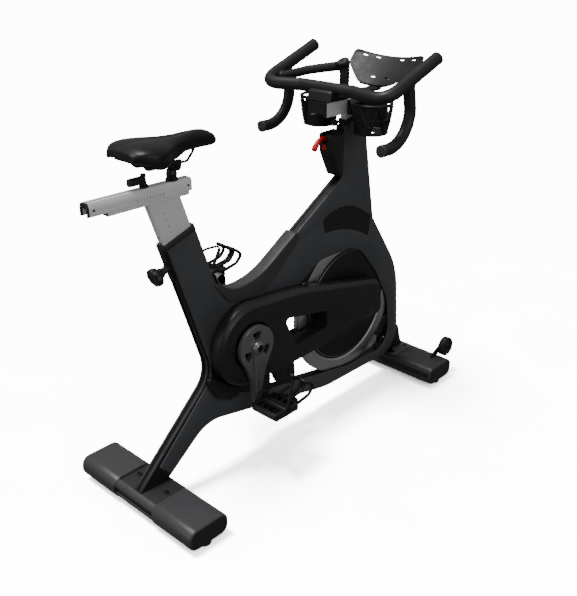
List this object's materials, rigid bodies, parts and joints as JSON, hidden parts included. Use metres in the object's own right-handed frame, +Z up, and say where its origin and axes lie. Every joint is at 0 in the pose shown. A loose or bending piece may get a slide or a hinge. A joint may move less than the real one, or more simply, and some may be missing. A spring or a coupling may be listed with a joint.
{
  "type": "exercise bike",
  "caption": "Indoor training cycle with a belt-driven flywheel, adjustable saddle and handlebar, toe-cage pedals and a tablet holder, on two stabilisers.",
  "frame": {"origin": "floor level, at the centre of the footprint's bounding box", "axes": "+X the way the rider faces, +Y the rider's left, +Z up"},
  "size_m": [1.382, 0.5076, 1.1898],
  "materials": {
    "black_paint": "semi-gloss black powder coat",
    "charcoal_metallic": "charcoal metallic powder coat",
    "grey_rubber": "matte dark grey rubber",
    "black_rubber": "matte black rubber",
    "bar_grip": "matte black soft coating",
    "black_plastic": "textured black moulded plastic",
    "grey_plastic": "satin dark grey plastic",
    "grey_paint": "satin dark grey paint",
    "aluminium": "satin anodised",
    "flywheel_metal": "polished",
    "bright_steel": "machined steel",
    "dark_steel": "dark grey coated steel",
    "vinyl": "soft black vinyl",
    "red_plastic": "red moulded plastic"
  },
  "bodies": {
    "frame": {"frame_core": "black_paint", "frame_panel_right": "charcoal_metallic", "frame_panel_left": "charcoal_metallic", "swoop_pad": "grey_rubber", "seat_tube_collar": "black_plastic", "tower_collar": "black_plastic", "rear_stabiliser": "black_paint", "rear_cover_right": "grey_plastic", "rear_cover_left": "grey_plastic", "front_stabiliser": "grey_paint", "front_mount_plate": "grey_paint", "wheel_bracket_right": "black_paint", "wheel_bracket_left": "black_paint", "belt_guard": "black_plastic", "drive_side_stay": "black_paint", "left_axle_stay": "black_paint", "guard_lower_bracket": "black_plastic", "bottom_bracket_shell": "dark_steel", "drive_belt": "black_rubber", "brake_bracket": "black_paint", "seat_pin_housing": "dark_steel", "control_pod": "black_plastic"},
    "flywheel": {"flywheel": "flywheel_metal", "flywheel_cover": "black_plastic", "flywheel_shaft": "bright_steel"},
    "crankset": {"crank_axle": "bright_steel", "right_crank_arm": "dark_steel", "left_crank_arm": "dark_steel", "drive_pulley": "dark_steel"},
    "right_pedal": {"right_pedal": "black_plastic", "right_toe_cage": "dark_steel"},
    "left_pedal": {"left_pedal": "black_plastic", "left_toe_cage": "dark_steel"},
    "brake": {"magnet_carrier": "black_paint"},
    "seat_post": {"seat_post": "aluminium", "lower_seat_rail": "aluminium"},
    "seat_carriage": {"upper_seat_rail": "aluminium", "seat_rail_rear_cap": "black_plastic", "saddle_stem": "black_paint"},
    "seat_lever": {"seat_lock_lever": "black_plastic"},
    "saddle": {"saddle_clamp": "black_paint", "saddle_rails": "dark_steel", "saddle": "vinyl"},
    "seat_pin": {"seat_pin_knob": "black_plastic"},
    "bar_post": {"handlebar_post": "aluminium"},
    "bar_carriage": {"handlebar_slider": "aluminium", "slider_rear_cap": "black_plastic", "crossbar_saddle": "black_plastic", "handlebar": "bar_grip", "tablet_holder": "black_plastic", "bottle_cage_right": "black_plastic", "bottle_cage_left": "black_plastic"},
    "bar_pin": {"bar_pin_knob": "black_plastic"},
    "shift_lever": {"shift_lever": "red_plastic"},
    "wheel_right": {"transport_wheel_right": "black_rubber"},
    "wheel_left": {"transport_wheel_left": "black_rubber"},
    "foot_rear_right": {"levelling_foot_rear_right": "black_rubber"},
    "foot_rear_left": {"levelling_foot_rear_left": "black_rubber"},
    "foot_front_right": {"levelling_foot_front_right": "black_rubber"},
    "foot_front_left": {"levelling_foot_front_left": "black_rubber"}
  },
  "joints": [
    {"name": "flywheel_spin", "type": "hinge", "parent": "frame", "child": "flywheel", "pos_m": [0.275, 0, 0.358], "axis": [0, 1, 0], "continuous": true},
    {"name": "crank_spin", "type": "hinge", "parent": "frame", "child": "crankset", "pos_m": [-0.217, 0, 0.406], "axis": [0, 1, 0], "continuous": true},
    {"name": "right_pedal_spin", "type": "hinge", "parent": "crankset", "child": "right_pedal", "pos_m": [-0.217, -0.15, 0.236], "axis": [0, 1, 0], "continuous": true},
    {"name": "left_pedal_spin", "type": "hinge", "parent": "crankset", "child": "left_pedal", "pos_m": [-0.217, 0.15, 0.576], "axis": [0, 1, 0], "continuous": true},
    {"name": "seat_post_height", "type": "slide", "parent": "frame", "child": "seat_post", "axis": [-0.3256, 0, 0.9455], "range_m": [-0.07, 0.09]},
    {"name": "seat_fore_aft", "type": "slide", "parent": "seat_post", "child": "seat_carriage", "axis": [1, 0, 0], "range_m": [-0.06, 0.06]},
    {"name": "seat_lever_turn", "type": "hinge", "parent": "seat_carriage", "child": "seat_lever", "pos_m": [-0.516, 0, 0.9337], "axis": [0, 0, 1], "range_deg": [0, 60]},
    {"name": "saddle_tilt", "type": "hinge", "parent": "seat_carriage", "child": "saddle", "pos_m": [-0.4285, 0, 0.975], "axis": [0, 1, 0], "range_deg": [-7, 7]},
    {"name": "seat_pin_pull", "type": "slide", "parent": "frame", "child": "seat_pin", "axis": [-0.9455, 0, -0.3256], "range_m": [0, 0.01], "stiffness_N_per_m": 800},
    {"name": "bar_post_height", "type": "slide", "parent": "frame", "child": "bar_post", "axis": [-0.1736, 0, 0.9848], "range_m": [0, 0.1]},
    {"name": "bar_fore_aft", "type": "slide", "parent": "bar_post", "child": "bar_carriage", "axis": [1, 0, 0], "range_m": [-0.05, 0.05]},
    {"name": "bar_pin_pull", "type": "slide", "parent": "frame", "child": "bar_pin", "axis": [-1, 0, 0], "range_m": [0, 0.008], "stiffness_N_per_m": 800},
    {"name": "shift_lever_turn", "type": "hinge", "parent": "frame", "child": "shift_lever", "pos_m": [0.1685, 0, 0.937], "axis": [0, 1, 0], "range_deg": [-18, 18]},
    {"name": "brake_swing", "type": "hinge", "parent": "frame", "child": "brake", "pos_m": [0.494, 0, 0.15], "axis": [0, 1, 0], "range_deg": [-2, 2]},
    {"name": "wheel_right_spin", "type": "hinge", "parent": "frame", "child": "wheel_right", "pos_m": [0.656, -0.176, 0.11], "axis": [0, 1, 0], "continuous": true},
    {"name": "wheel_left_spin", "type": "hinge", "parent": "frame", "child": "wheel_left", "pos_m": [0.656, 0.176, 0.11], "axis": [0, 1, 0], "continuous": true},
    {"name": "foot_rear_right_screw", "type": "slide", "parent": "frame", "child": "foot_rear_right", "axis": [0, 0, -1], "range_m": [0, 0.01]},
    {"name": "foot_rear_left_screw", "type": "slide", "parent": "frame", "child": "foot_rear_left", "axis": [0, 0, -1], "range_m": [0, 0.01]},
    {"name": "foot_front_right_screw", "type": "slide", "parent": "frame", "child": "foot_front_right", "axis": [0, 0, -1], "range_m": [0, 0.01]},
    {"name": "foot_front_left_screw", "type": "slide", "parent": "frame", "child": "foot_front_left", "axis": [0, 0, -1], "range_m": [0, 0.01]}
  ],
  "couplings": [
    {"joint": "crank_spin", "follows": "flywheel_spin", "ratio": 0.27},
    {"joint": "brake_swing", "follows": "shift_lever_turn", "ratio": 0.1}
  ]
}
